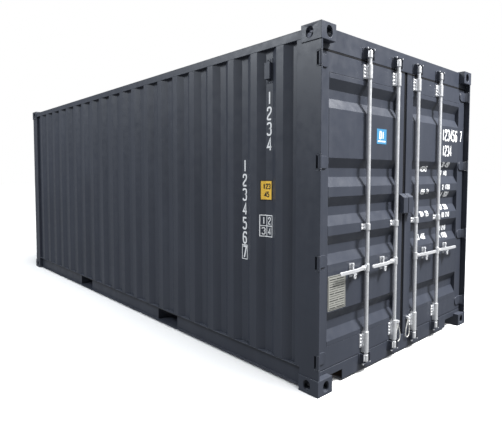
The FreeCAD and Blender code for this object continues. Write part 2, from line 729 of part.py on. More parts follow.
def lock_bar(place):
    """A round bar with a cam near each end and the handle's hub and pivot."""
    x = -place
    axis = door(BAR_DEPTH)
    pieces = [rod(x, axis, BAR_LOW, BAR_HIGH, BAR_RADIUS)]
    for low in (BAR_LOW + CAM_FROM_END, BAR_HIGH - CAM_FROM_END - CAM_TALL):
        pieces.append(rod(x, axis, low, low + CAM_TALL, CAM_RADIUS))
        pieces.append(box(x - CAM_NOSE, x, axis - CAM_NOSE_THICK / 2, axis + CAM_NOSE_THICK / 2,
                          low, low + CAM_TALL))
    middle = HANDLE_HEIGHT
    pieces.append(rod(x, axis, middle - HUB_TALL / 2, middle + HUB_TALL / 2, HUB_RADIUS))
    pivot = x - PIVOT_OUT
    lug_front = axis + SMALL_GAP + SMALL_GAP
    handle_front = lug_front - SMALL_GAP - HANDLE_THICK
    head_front = handle_front - SMALL_GAP - PIVOT_HEAD_THICK
    pieces.append(box(pivot, x, lug_front, lug_front + HUB_LUG_THICK,
                      middle - HUB_LUG_TALL / 2, middle + HUB_LUG_TALL / 2))
    toward_leaf = vector(0, 1, 0)
    pieces.append(Part.makeCylinder(HUB_LUG_TALL / 2, HUB_LUG_THICK, vector(pivot, lug_front, middle),
                                    toward_leaf))
    pieces.append(Part.makeCylinder(PIVOT_RADIUS, lug_front - head_front,
                                    vector(pivot, head_front, middle), toward_leaf))
    pieces.append(Part.makeCylinder(PIVOT_HEAD, PIVOT_HEAD_THICK, vector(pivot, head_front, middle),
                                    toward_leaf))
    return join(pieces)


def bar_handle(place):
    """A flat lever on the hub's pivot, bent outwards before the catch."""
    x = -place
    near = BAR_DEPTH + SMALL_GAP - HANDLE_THICK
    far = HANDLE_FRONT
    half = HANDLE_TALL / 2
    pivot = x - PIVOT_OUT
    toward_leaf = vector(0, 1, 0)
    eye = Part.makeCylinder(PIVOT_EYE, HANDLE_THICK, vector(pivot, door(near), HANDLE_HEIGHT), toward_leaf)
    outline = [(pivot, near), (x - HANDLE_BEND_START, near), (x - HANDLE_BEND_END, far),
               (x - HANDLE_REACH + half, far)]
    outline += [(px, d + HANDLE_THICK) for px, d in reversed(outline)]
    arm = upright([(px, door(d)) for px, d in outline], HANDLE_HEIGHT - half, HANDLE_HEIGHT + half)
    tip = Part.makeCylinder(half, HANDLE_THICK, vector(x - HANDLE_REACH + half, door(far), HANDLE_HEIGHT),
                            toward_leaf)
    hole = Part.makeCylinder(PIVOT_RADIUS + PIN_FIT, 3 * HANDLE_THICK,
                             vector(pivot, door(near - HANDLE_THICK), HANDLE_HEIGHT), toward_leaf)
    return join([eye, arm, tip]).cut(hole)


def handle_catches():
    """A plate with a ledge under each handle and a lug behind its upper edge."""
    face = door(LEAF_FACE)
    catches = []
    for place in BAR_PLACES:
        x = -place - CATCH_OUT
        half = CATCH_WIDE / 2
        under = HANDLE_HEIGHT - HANDLE_TALL / 2 - CATCH_GAP
        behind = door(HANDLE_FRONT + HANDLE_THICK + CATCH_GAP)
        low = HANDLE_HEIGHT - CATCH_BELOW
        high = HANDLE_HEIGHT + CATCH_ABOVE
        plate = box(x - half, x + half, face - CATCH_PLATE, face, low, high)
        ledge = box(x - half, x + half, door(HANDLE_FRONT), face, under - CATCH_LEDGE, under)
        lug = box(x - half, x + half, behind, face, high - 2 * CATCH_LEDGE, high)
        catches.append(join([plate, ledge, lug]))
    return Part.makeCompound(catches)


def inner_bar_side(out):
    """X of a distance out from the left inner bar, towards the other leaf."""
    return out - BAR_PLACES[-1]


def rope_cleat():
    """A block on the leaf that both ends of the tie rope go into from below."""
    (near, rise), (far, rise) = ROPE_ROUTE[0], ROPE_ROUTE[-1]
    low = LEAF_LOW + rise
    return box(inner_bar_side(near - CLEAT_EDGE), inner_bar_side(far + CLEAT_EDGE),
               door(ROPE_DEPTH - CLEAT_EDGE), door(LEAF_FACE), low, low + CLEAT_TALL)


def rounded_path(points):
    """Straight runs joined by the largest tangent arcs that they allow."""
    edges = []
    start = points[0]
    for before, corner, after in zip(points, points[1:], points[2:]):
        trim = ROPE_ARC_SHARE * min((before - corner).Length, (after - corner).Length)
        back = (before - corner).normalize()
        ahead = (after - corner).normalize()
        half_turn = (math.pi - back.getAngle(ahead)) / 2
        radius = trim / math.tan(half_turn)
        bisector = (back + ahead).normalize()
        middle = corner + bisector * (math.hypot(radius, trim) - radius)
        near = corner + back * trim
        far = corner + ahead * trim
        edges.append(Part.LineSegment(start, near).toShape())
        edges.append(Part.Arc(near, middle, far).toShape())
        print("rope arc radius", round(radius, 1))
        start = far
    edges.append(Part.LineSegment(start, points[-1]).toShape())
    return Part.Wire(edges)


def tie_rope():
    points = [vector(inner_bar_side(out), door(ROPE_DEPTH), LEAF_LOW + rise) for out, rise in ROPE_ROUTE]
    path = rounded_path(points)
    end = Part.Wire(Part.makeCircle(ROPE_RADIUS, points[0], points[1] - points[0]))
    rope = path.makePipeShell([end], True, False)
    print("rope length", round(path.Length, 1), "volume over section times length",
          round(rope.Volume / (math.pi * ROPE_RADIUS ** 2 * path.Length), 4))
    return rope


def lock_box():
    """Half of a hood over the padlock, open below and towards the other door."""
    face = LEAF_FACE
    wall = BOX_WALL
    low = HANDLE_HEIGHT + BOX_RISE
    outside = [(BOX_FRONT, low), (face, low), (face, low + BOX_BACK_TALL), (BOX_FRONT, low + BOX_TALL)]
    inside = [(BOX_FRONT + wall, low), (face, low), (face, low + BOX_BACK_TALL - 2 * wall),
              (BOX_FRONT + wall, low + BOX_TALL - wall)]
    hood = crosswise([(door(d), z) for d, z in outside], -BOX_OUT, -BOX_HALF_GAP)
    return hood.cut(crosswise([(door(d), z) for d, z in inside], wall - BOX_OUT, -BOX_HALF_GAP))


def data_plate():
    face = door(LEAF_FACE)
    x = OPEN_OUT + PLATE_EDGE
    high = HANDLE_HEIGHT - PLATE_DROP
    return box(x, x + PLATE_WIDE, face - PLATE_THICK, face, high - PLATE_TALL, high)


def cam_keepers():
    """Two footed cheeks and a stop round each bar end, on the header and the sill."""
    face = door(LEAF_FACE)
    fore = door(KEEPER_FRONT)
    keepers = []
    for place in BAR_PLACES:
        x = -place
        below = BAR_LOW - KEEPER_GAP - KEEPER_THICK
        above = BAR_HIGH + KEEPER_GAP + KEEPER_THICK - KEEPER_TALL
        for low, ledge in ((below, 0), (above, KEEPER_TALL - KEEPER_THICK)):
            pieces = [box(x - KEEPER_HALF, x + KEEPER_HALF, fore, face,
                          low + ledge, low + ledge + KEEPER_THICK)]
            for side in (-1, 1):
                inner = x + side * (KEEPER_HALF - KEEPER_THICK)
                outer = x + side * KEEPER_HALF
                pieces.append(box(inner, outer, fore, face, low, low + KEEPER_TALL))
                pieces.append(box(outer, outer + side * KEEPER_FOOT, face - KEEPER_FOOT_THICK, face,
                                  low, low + KEEPER_TALL))
            keepers += both_sides(join(pieces))
    return Part.makeCompound(keepers)


# ---- Ventilators

def ventilators():
    """A moulded cover seated in the trough behind the first crest of each side wall."""
    y = wall_crests()[0] + WALL_PITCH / 2
    half_trough = (WALL_PITCH - WALL_CREST) / 2 - WALL_SLOPE
    back_half = half_trough - VENT_FIT
    shoulder = TROUGH_FACE - VENT_OVERHANG * WALL_DEEP / WALL_SLOPE
    half = back_half + VENT_OVERHANG
    outline = [(-back_half, TROUGH_FACE), (-half, shoulder), (-half, VENT_FRONT),
               (half, VENT_FRONT), (half, shoulder), (back_half, TROUGH_FACE)]
    high = RAIL_LOW - VENT_DROP
    cover = upright([(left(a), y + along) for along, a in outline], high - VENT_TALL, high)
    return Part.makeCompound(both_sides(cover))


def leaf_nodes():
    """Everything that one leaf carries apart from its bars and handles."""
    return {"frame": leaf_frame(), "panel": leaf_panel(), "gasket": leaf_seal(),
            "hinge_blades": hinge_blades(), "bar_brackets": bar_brackets(),
            "handle_catches": handle_catches(), "lock_box": lock_box(), "tie_rope": tie_rope()}


def nodes():
    made = {
        "bottom_corner_castings": bottom_corner_castings(),
        "top_corner_castings": top_corner_castings(),
        "door_posts": Part.makeCompound(both_sides(door_post())),
        "front_posts": Part.makeCompound(both_sides(front_post())),
        "top_side_rails": Part.makeCompound(both_sides(top_side_rail())),
        "bottom_side_rail_left": bottom_side_rail(),
        "bottom_side_rail_right": mirrored(bottom_side_rail()),
        "front_top_rail": front_top_rail(),
        "front_bottom_rail": front_bottom_rail(),
        "door_header": door_header(),
        "door_sill": door_sill(),
        "side_wall_left": side_wall(),
        "side_wall_right": mirrored(side_wall()),
        "front_wall": front_wall(),
        "roof_panel": roof_panel(),
        "roof_corner_plates": roof_corner_plates(),
        "cross_members": cross_members(),
        "fork_pockets": fork_pockets(),
        "floor_boards": floor_boards(),
        "ventilators": ventilators(),
        "hinge_lugs": hinge_lugs(),
        "cam_keepers": cam_keepers(),
        "data_plate": data_plate(),
    }
    for name, shape in leaf_nodes().items():
        made["left_door_" + name] = shape
        made["right_door_" + name] = mirrored(shape)
    for place, where in zip(BAR_PLACES, ("outer", "inner")):
        made["left_" + where + "_lock_bar"] = lock_bar(place)
        made["right_" + where + "_lock_bar"] = mirrored(lock_bar(place))
        made["left_" + where + "_handle"] = bar_handle(place)
        made["right_" + where + "_handle"] = mirrored(bar_handle(place))
    return made


os.makedirs("parts", exist_ok=True)
for node_name, node_shape in nodes().items():
    node_shape.exportStep("parts/" + node_name + ".step")
    print(node_name, len(node_shape.Solids), node_shape.isValid())
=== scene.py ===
import json
import math

import bmesh
import bpy
from mathutils import Matrix, Vector
from mathutils.bvhtree import BVHTree


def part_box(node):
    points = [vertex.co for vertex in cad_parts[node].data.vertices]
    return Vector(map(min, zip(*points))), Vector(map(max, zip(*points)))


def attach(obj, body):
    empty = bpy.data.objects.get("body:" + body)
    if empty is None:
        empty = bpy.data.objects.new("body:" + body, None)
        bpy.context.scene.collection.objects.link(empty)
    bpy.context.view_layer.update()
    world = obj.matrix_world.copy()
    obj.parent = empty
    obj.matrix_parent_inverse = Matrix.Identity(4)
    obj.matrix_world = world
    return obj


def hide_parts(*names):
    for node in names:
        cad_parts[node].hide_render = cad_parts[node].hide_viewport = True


# A twenty-foot freight container with its doors shut, in metres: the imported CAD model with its
# paint, zinc, rubber and timber, and the bolts, seals, ropes and markings that it leaves plain
# or out.
#
# X runs across the container, Y along it with the doors at -Y, and Z up. A wall or door is faced
# from outside: "across" then runs to the viewer's right and "up" along Z.

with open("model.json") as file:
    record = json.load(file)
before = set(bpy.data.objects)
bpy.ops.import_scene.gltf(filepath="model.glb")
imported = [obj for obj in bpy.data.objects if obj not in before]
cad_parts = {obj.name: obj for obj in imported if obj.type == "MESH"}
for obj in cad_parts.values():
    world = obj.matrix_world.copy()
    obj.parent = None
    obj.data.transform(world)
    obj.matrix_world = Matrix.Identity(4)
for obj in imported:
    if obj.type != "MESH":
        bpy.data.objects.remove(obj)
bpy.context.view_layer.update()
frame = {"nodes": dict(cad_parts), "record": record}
NODES = frame["nodes"]
DOORS = ("left_door", "right_door")
SIDES = {"left": -1, "right": 1}

# ---- Camera
CAMERA_PLACE = (-3.6459, -4.9484, 1.5622)
CAMERA_YAW = math.radians(41.344)
CAMERA_PITCH = math.radians(-3.076)
CAMERA_LENS = 32.19
CAMERA_SENSOR = 36.0
CAMERA_SHIFT = (0.0254, -0.0272)
CAMERA_REACH = 200             # nothing farther off is seen

# ---- Light and floor
FLOOR_REACH = 60.0             # from the middle of the floor to its edges
SKY = (0.94, 0.97, 1.0)
SKY_STRENGTH = 0.30
KEY_PLACE, KEY_TARGET = (1.9, -6.3, 7.4), (0, -3, 1.3)
KEY_SIZE = (1.2, 1.2)
KEY_POWER = 1250
FILL_PLACE, FILL_TARGET = (-7.0, 2.0, 6.0), (-1.2, -0.5, 2.2)
FILL_SIZE = (7, 2)
FILL_POWER = 490
FILL_COLOUR = (0.9, 0.95, 1.0)
SUN_STRENGTH = 3.4
SUN_SPREAD = math.radians(40)
SUN_TILT = (math.radians(27), math.radians(2), 0)      # turned from straight down, towards the far end

# ---- Colours, linear
GREY = (0.037, 0.0425, 0.0585)
GREY_DUST = (0.09, 0.098, 0.12)
RUBBER = (0.012, 0.012, 0.013)
TIMBER = (0.3, 0.17, 0.08)
PLATE_METAL = (0.5, 0.5, 0.46)
FIBRE = (0.72, 0.72, 0.69)
ZINC = (0.80, 0.81, 0.83)
WHITE = (0.92, 0.93, 0.94)
YELLOW = (1.0, 0.62, 0.08)
BLUE = (0.06, 0.24, 0.43)
INK = (0.015, 0.015, 0.017)

# ---- Meshes
WELD = 1e-6                    # corners nearer than this are one
FLAT_ANGLE = math.radians(1)   # faces that meet at less than this are one
STEEL_SHARP = math.radians(25)                         # edges sharper than this are rounded
FITTING_SHARP = math.radians(35)
CORNER_SIGNS = ((-1, -1), (1, -1), (1, 1), (-1, 1))    # which way each corner of a rectangle lies

# ---- Markings
RAY_START = 10                 # rays that look for a wall start this far out from the middle
STICKER_LIFT = 0.0012          # a sticker or painted sign stands out this far from the sheet
SIGN_THICK = 0.0006
LAYER_STEP = 0.0008            # from one layer of a sticker to the next
HAIR = 0.0003                  # a sideways step, where a sign crosses the seam between two nodes
FOLD_MARGIN = 0.0005           # a fold nearer than this to a sign's edge doesn't fold the sign
FIGURE_STROKE = 0.13           # width of a figure's strokes, against its height
FIGURE_WIDE = 0.36             # width between the middles of its outer strokes, against its height
FIGURE_GAP = 0.19              # from one figure to the next in a row, middle to middle of their strokes
ROW_SQUEEZE = 0.84             # width of the figures in the door's large rows, against the usual
SMALL_ROW = 0.050              # height of the figures in the door's small rows
SMALL_WEIGHT = 0.18            # stroke of those rows, against their height
SIDE_NEAR_Y = -2.502           # columns of figures and stickers along the side, middle of each
SIDE_FAR_Y = -2.224
SIDE_STICKER_Y = -2.480
COLUMN_PITCH = 0.118           # from one figure to the next down a column
NEAR_COLUMN_TOP = 2.145        # middle of each column's first figure
FAR_COLUMN_TOP = 1.632
NEAR_FIGURE, FAR_FIGURE = 0.105, 0.104
LAST_FIGURE_BOX = (0.066, 0.122, 0.006)                # width, height and line
YELLOW_STICKER = (0.110, 0.156)
YELLOW_STICKER_UP = 1.438
BOXED_SQUARE = (0.120, 0.172)
BOXED_SQUARE_UP = 1.160
SQUARE_CELL = (0.056, 0.082)   # from one of its four figures to the next, across and down
DOOR_ROWS_X = 0.812            # middle of the right door's right-hand rows, and of its left-hand ones
DOOR_ASIDE_X = 0.375
DOOR_ROWS = ((1.655, "30 450"), (1.573, "67 140"), (1.437, "2 1700"), (1.365, "4 7600"),
             (1.240, "27 350"), (1.165, "60 210"), (1.031, "33 210"), (0.958, "1 1720"))
DOOR_ASIDE_ROWS = ((1.611, "0 12345"), (1.401, "456 71"), (1.196, "701 23"), (0.982, "23 456"))
BLUE_STICKER = (0.142, 0.120)
BLUE_STICKER_X = -0.374
PLATE_ROWS = 13                # rows of print on the data plate
PLATE_SPLITS = (0.42, 0.58, 0.34, 0.66)                # where a row's first word ends, across the plate
PLATE_MARGIN = 0.09            # blank at either end of a row, against the plate's width
PLATE_WORD_GAP = 0.05
# strokes of each figure in a box 1 wide and 2 tall; those of the first group are rounded
FIGURES = {
    "0": ([((0, 0), (1, 0), (1, 2), (0, 2), (0, 0))], []),
    "1": ([], [((0.55, 0), (0.55, 2))]),
    "2": ([((0, 1.4), (0, 2), (1, 2), (1, 1.2), (0, 0.5), (0, 0))], [((0, 0), (1, 0))]),
    "3": ([((0, 1.7), (0, 2), (1, 2), (1, 1.05), (0.4, 1.05)),
           ((0.4, 1.05), (1, 1.05), (1, 0), (0, 0), (0, 0.35))], []),
    "4": ([], [((0.8, 0), (0.8, 2), (0, 0.55), (1.1, 0.55))]),
    "5": ([((0.05, 1.15), (1, 1.25), (1, 0), (0, 0), (0, 0.35))], [((1, 2), (0.05, 2), (0.05, 1.15))]),
    "6": ([((1, 1.65), (1, 2), (0, 2), (0, 0), (1, 0), (1, 1.15), (0, 1.15))], []),
    "7": ([], [((0, 2), (1, 2), (0.35, 0))]),
}

# ---- Lock gear
BOLT_RADIUS = 0.0095
BOLT_DOME = 0.75               # how far a bolt's head stands up, against its radius
BOLT_ASIDE = 0.038             # bolts out from the middle of a bracket
BRACKET_FOOT = 0.106           # height of a tall bracket's feet
SLEEVE_BELOW = 0.041           # how far its sleeve runs on below them
FOOT_THICK = 0.005             # plate of a bracket's feet, and of a catch
CATCH_LEDGE_DROP = 0.0785      # top of a catch's ledge below its upper end
CATCH_LEDGE = 0.012            # its thickness
CATCH_BACK = 0.0305            # front of what lies behind a handle, out from the leaf
CATCH_EYE = 0.0155             # outer radius of the eye under the ledge, and of the hasp's knob
CATCH_KNOB = 0.012
RIM = 0.012                    # height and depth of the pale zinc rims on a keeper, on the header's keepers a painted highlight
RIM_SIDES = (0.0415, 0.0515)   # the two sides of each, out from the keeper's middle
VENT_FLANGE = 0.003            # thickness of a ventilator's base
SEAL_LIP = 0.0045              # how far a leaf's seal reaches past its top and bottom
SEAL_HINGE_LIP = 0.008         # past its hinged edge
SEAL_CENTRE_LIP = 0.018        # past its edge at the centre
SEAL_INSIDE = 0.004            # and back over the leaf
SEAL_FRONT = 0.012             # the seal's front and back, behind the leaf's front
SEAL_BACK = 0.024
BAR_X = 0.172                  # inner lock bars out from the middle of the door end
# tie rope in metres: out from the inner bar towards the other leaf, up from the leaf's lower edge
ROPE_ROUTE = ((0.078, 0.126), (0.078, 0.102), (0.071, 0.070), (0.061, 0.038), (0.060, 0.003),
              (0.062, -0.021), (0.077, -0.039), (0.101, -0.042), (0.120, -0.028), (0.124, -0.003),
              (0.119, 0.030), (0.108, 0.063), (0.092, 0.098), (0.092, 0.126))


# ================================================================ helpers

def add_object(name, mesh, body, *materials):
    piece = bpy.data.objects.new(name, mesh)
    bpy.context.collection.objects.link(piece)
    for material in materials:
        mesh.materials.append(material)
    if body:
        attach(piece, body)
    return piece


def mesh_from(bm, name):
    mesh = bpy.data.meshes.new(name)
    bmesh.ops.recalc_face_normals(bm, faces=bm.faces)
    bm.to_mesh(mesh)
    bm.free()
    return mesh


# ================================================================ materials

class Recipe:
    """A node material under way: its Principled shader and short ways to add nodes to it."""

    def __init__(self, name, colour, roughness, metallic=0.0, specular=0.5):
        self.material = bpy.data.materials.new(name)
        self.material.use_nodes = True
        self.tree = self.material.node_tree
        self.shader = self.tree.nodes["Principled BSDF"]
        self.shader.inputs["Base Color"].default_value = (*colour, 1)
        self.shader.inputs["Roughness"].default_value = roughness
        self.shader.inputs["Metallic"].default_value = metallic
        self.shader.inputs["Specular IOR Level"].default_value = specular
        self.place = self.node("ShaderNodeTexCoord").outputs["Object"]

    def node(self, kind, **settings):
        made = self.tree.nodes.new(kind)
        for key, value in settings.items():
            setattr(made, key, value)
        return made

    def link(self, source, target):
        self.tree.links.new(source, target)

    def stretched(self, scale):
        mapping = self.node("ShaderNodeMapping")
        mapping.inputs["Scale"].default_value = scale
        self.link(self.place, mapping.inputs["Vector"])
        return mapping.outputs["Vector"]

    def noise(self, scale, detail=3.0, stretch=(1, 1, 1)):
        made = self.node("ShaderNodeTexNoise")
        made.inputs["Scale"].default_value = scale
        made.inputs["Detail"].default_value = detail
        self.link(self.stretched(stretch), made.inputs["Vector"])
        return made.outputs["Fac"]

    def ramp(self, source, low, high, from_low=0.0, from_high=1.0):
        made = self.node("ShaderNodeMapRange")
        for key, value in (("From Min", from_low), ("From Max", from_high),
                           ("To Min", low), ("To Max", high)):
            made.inputs[key].default_value = value
        self.link(source, made.inputs["Value"])
        return made.outputs["Result"]

    def multiply(self, one, other):
        made = self.node("ShaderNodeMath", operation="MULTIPLY")
        self.link(one, made.inputs[0])
        self.link(other, made.inputs[1])
        return made.outputs["Value"]

    def mixed(self, amount, one, other):
        """A colour between one and other, each a colour or another node's output."""
        made = self.node("ShaderNodeMix", data_type="RGBA")
        self.link(amount, made.inputs["Factor"])
        for key, value in (("A", one), ("B", other)):
            socket = [s for s in made.inputs if s.name == key and s.type == "RGBA"][0]
            if isinstance(value, tuple):
                socket.default_value = (*value, 1)
            else:
                self.link(value, socket)
        return [s for s in made.outputs if s.type == "RGBA"][0]

    def colour(self, source):
        self.link(source, self.shader.inputs["Base Color"])

    def roughness(self, source):
        self.link(source, self.shader.inputs["Roughness"])

    def bump(self, heights, edge=0.0):
        """Bumps of (height source, depth in metres), over a rounding of the edges."""
        normal = None
        if edge:
            bevel = self.node("ShaderNodeBevel", samples=4)
            bevel.inputs["Radius"].default_value = edge
            normal = bevel.outputs["Normal"]
        for source, depth in heights:
            made = self.node("ShaderNodeBump")
            made.inputs["Distance"].default_value = depth
            self.link(source, made.inputs["Height"])
            if normal:
                self.link(normal, made.inputs["Normal"])
            normal = made.outputs["Normal"]
        self.link(normal, self.shader.inputs["Normal"])


def shade(colour, factor):
    return tuple(min(1.0, channel * factor) for channel in colour)


def paint(name, colour, edge, pits=0.0):
    """Satin paint: cloudy, with faint runs of dust down it, more dust on top, and orange peel."""
    made = Recipe(name, colour, 0.4)
    clouds = made.ramp(made.noise(1.6, 4), 0.0, 1.0, 0.3, 0.7)
    base = made.mixed(clouds, shade(colour, 0.92), shade(colour, 1.07))
    runs = made.ramp(made.noise(9.0, 5, (1, 1, 0.06)), 0.0, 0.22, 0.5, 0.8)
    base = made.mixed(runs, base, GREY_DUST)
    normal = made.node("ShaderNodeNewGeometry").outputs["Normal"]
    split = made.node("ShaderNodeSeparateXYZ")
    made.link(normal, split.inputs["Vector"])
    upward = made.ramp(split.outputs["Z"], 0.0, 0.35, 0.5, 1.0)
    base = made.mixed(made.multiply(upward, made.noise(5.0, 6)), base, GREY_DUST)
    made.colour(base)
    made.roughness(made.ramp(made.noise(14.0, 5), 0.34, 0.5, 0.3, 0.7))
    heights = [(made.noise(2.2, 2), 0.0016), (made.noise(260.0, 2), 0.00012)]
    if pits:
        heights.append((made.noise(70.0, 4), pits))
    made.bump(heights, edge)
    return made.material


def zinc(name):
    """Hot-dipped zinc: pale spangles, and a duller bloom in patches."""
    made = Recipe(name, ZINC, 0.42, metallic=0.6)
    cells = made.node("ShaderNodeTexVoronoi")
    cells.inputs["Scale"].default_value = 90.0
    made.link(made.place, cells.inputs["Vector"])
    split = made.node("ShaderNodeSeparateColor")
    made.link(cells.outputs["Color"], split.inputs["Color"])
    spangle = made.ramp(split.outputs["Red"], 0.0, 1.0)
    base = made.mixed(spangle, shade(ZINC, 0.94), shade(ZINC, 1.08))
    bloom = made.ramp(made.noise(18.0, 5), 0.0, 0.4, 0.5, 0.75)
    made.colour(made.mixed(bloom, base, shade(ZINC, 0.82)))
    made.roughness(made.ramp(made.noise(30.0, 4), 0.34, 0.52, 0.3, 0.7))
    made.bump([(made.noise(120.0, 3), 0.0002)], 0.0012)
    return made.material


def rubber(name):
    made = Recipe(name, RUBBER, 0.9, specular=0.12)
    made.colour(made.mixed(made.noise(12.0, 5), (0.008, 0.008, 0.009), (0.018, 0.018, 0.02)))
    made.bump([(made.noise(300.0, 2), 0.0002)], 0.001)
    return made.material


def plywood(name):
    """Oiled plywood: grain along the container, with darker sheets and scuffs."""
    made = Recipe(name, TIMBER, 0.55)
    grain = made.noise(22.0, 6, (1, 0.05, 1))
    fine = made.noise(120.0, 4, (1, 0.02, 1))
    base = made.mixed(made.ramp(grain, 0, 1, 0.3, 0.7), (0.19, 0.1, 0.045), (0.36, 0.21, 0.1))
    base = made.mixed(made.ramp(fine, 0, 0.5, 0.45, 0.7), base, (0.13, 0.07, 0.035))
    made.colour(base)
    made.bump([(fine, 0.0004)], 0.001)
    return made.material


def moulded(name, colour, roughness=0.5):
    made = Recipe(name, colour, roughness)
    made.colour(made.mixed(made.noise(8.0, 4), shade(colour, 0.88), shade(colour, 1.1)))
    made.roughness(made.ramp(made.noise(40.0, 3), roughness - 0.06, roughness + 0.08, 0.3, 0.7))
    made.bump([(made.noise(350.0, 2), 0.00015)], 0.002)
    return made.material


def brushed(name):
    made = Recipe(name, PLATE_METAL, 0.4, metallic=0.5)
    strokes = made.noise(500.0, 3, (0.03, 1, 1))
    made.colour(made.mixed(strokes, (0.42, 0.42, 0.38), (0.6, 0.6, 0.55)))
    made.roughness(made.ramp(strokes, 0.35, 0.5, 0.3, 0.7))
    made.bump([(strokes, 0.00008)])
    return made.material


def printed(name, colour, roughness=0.45):
    """Sign paint or a printed sticker, slightly uneven and worn."""
    made = Recipe(name, colour, roughness)
    worn = made.ramp(made.noise(60.0, 6), 0.0, 0.35, 0.55, 0.75)
    made.colour(made.mixed(worn, colour, shade(colour, 0.72)))
    made.bump([(made.noise(250.0, 2), 0.0001)])
    return made.material


def rope_fibre(name):
    made = Recipe(name, FIBRE, 0.65)
    strands = made.node("ShaderNodeTexWave", wave_type="BANDS", bands_direction="DIAGONAL")
    strands.inputs["Scale"].default_value = 60.0
    strands.inputs["Distortion"].default_value = 1.0
    made.link(made.place, strands.inputs["Vector"])
    made.colour(made.mixed(strands.outputs["Fac"], (0.45, 0.45, 0.42), (0.8, 0.8, 0.78)))
    made.bump([(strands.outputs["Fac"], 0.0008)])
    return made.material


def floor_card(name):
    made = Recipe(name, (0.9, 0.9, 0.9), 0.9, specular=0.1)
    made.colour(made.mixed(made.noise(0.5, 2), (0.89, 0.89, 0.89), (0.91, 0.91, 0.91)))
    return made.material


SLOT_MATERIALS = {
    "grey_paint": paint("grey_paint", GREY, 0.004),
    "casting_paint": paint("casting_paint", shade(GREY, 1.1), 0.006, pits=0.0008),
    "galvanised": zinc("galvanised"),
    "seal_rubber": rubber("seal_rubber"),
    "plywood": plywood("plywood"),
    "vent_plastic": moulded("vent_plastic", shade(GREY, 1.15)),
    "data_plate": brushed("data_plate"),
    "tie_rope": rope_fibre("tie_rope"),
}
SIGN_WHITE = printed("sign_white", WHITE)
SIGN_YELLOW = printed("sign_yellow", YELLOW, 0.35)
SIGN_BLUE = printed("sign_blue", BLUE, 0.35)
SIGN_INK = printed("sign_ink", INK)

for subpart in frame["record"]["subparts"]:
    for material_slot in NODES[subpart["node"]].material_slots:
        material_slot.material = SLOT_MATERIALS[subpart["material_slot"]]


# ================================================================ signs laid on the sheets

class Wall:
    """An outside face that signs lie on: its nodes' shape, and the way a viewer faces it."""

    def __init__(self, body, nodes, across, outward):
        self.body = body
        self.across = Vector(across)
        self.outward = Vector(outward)
        bm = bmesh.new()
        for node in nodes:
            bm.from_mesh(NODES[node].data)
        self.tree = BVHTree.FromBMesh(bm)
        places = [v.co.copy() for v in bm.verts]
        bm.free()
        # every fold of the sheet, along both ways across it
        self.folds = [(way, sorted({round(p.dot(way), 4) for p in places}))
                      for way in (self.across, Vector((0, 0, 1)))]

    def lay(self, bm, across, up, lift):
        """Moves a flat mesh drawn in X (across) and Y (up) onto the wall, folded where it folds."""
        corner = self.across * across + Vector((0, 0, up))
        turn = Matrix((self.across, Vector((0, 0, 1)), self.outward)).transposed().to_4x4()
        bmesh.ops.transform(bm, matrix=Matrix.Translation(corner) @ turn, verts=bm.verts)
        for way, places in self.folds:
            low = min(v.co.dot(way) for v in bm.verts)
            high = max(v.co.dot(way) for v in bm.verts)
            for place in places:
                if low + FOLD_MARGIN < place < high - FOLD_MARGIN:
                    everything = bm.verts[:] + bm.edges[:] + bm.faces[:]
                    bmesh.ops.bisect_plane(bm, geom=everything, plane_co=way * place, plane_no=way)
        for vertex in bm.verts:
            flat = vertex.co - self.outward * vertex.co.dot(self.outward)
            vertex.co = flat + self.outward * (self.depth(flat) + lift)

    def depth(self, place):
        """How far out the wall is there, also where two of its nodes meet."""
        for nudge in (0, HAIR, -HAIR):
            start = place + self.across * nudge + self.outward * RAY_START
            hit = self.tree.ray_cast(start, -self.outward)[0]
            if hit:
                return hit.dot(self.outward)
        raise ValueError("a sign runs off its wall")


def sign(name, wall, material, *drawn, layer=0):
    """One piece from several flat drawings, each (mesh, across, up), laid on a wall or a lower layer."""
    whole = bmesh.new()
    for bm, across, up in drawn:
        wall.lay(bm, across, up, STICKER_LIFT + layer * LAYER_STEP)
        part = bpy.data.meshes.new("part")
        bm.to_mesh(part)
        bm.free()
        whole.from_mesh(part)
        bpy.data.meshes.remove(part)
    piece = add_object(name, mesh_from(whole, name), wall.body, material)
    solid = piece.modifiers.new("thickness", "SOLIDIFY")
    solid.thickness = SIGN_THICK
    solid.offset = 0
    return piece


def rectangle(width, height):
    bm = bmesh.new()
    bm.faces.new([bm.verts.new((a * width / 2, b * height / 2, 0)) for a, b in CORNER_SIGNS])
    return bm


def outline(width, height, line):
    """A rectangle's border, as four bars."""
    bm = bmesh.new()
    for x, y, w, h in ((0, (height - line) / 2, width, line), (0, (line - height) / 2, width, line),
                       ((line - width) / 2, 0, line, height - 2 * line),
                       ((width - line) / 2, 0, line, height - 2 * line)):
        bm.faces.new([bm.verts.new((x + a * w / 2, y + b * h / 2, 0)) for a, b in CORNER_SIGNS])
    return bm


def softened(points):
    """A polyline with its corners cut twice, and its ends kept."""
    for _ in range(2):
        cut = [points[0]]
        for a, b in zip(points, points[1:]):
            cut.append(tuple(0.75 * m + 0.25 * n for m, n in zip(a, b)))
            cut.append(tuple(0.25 * m + 0.75 * n for m, n in zip(a, b)))
        points = cut + [points[-1]]
    return points


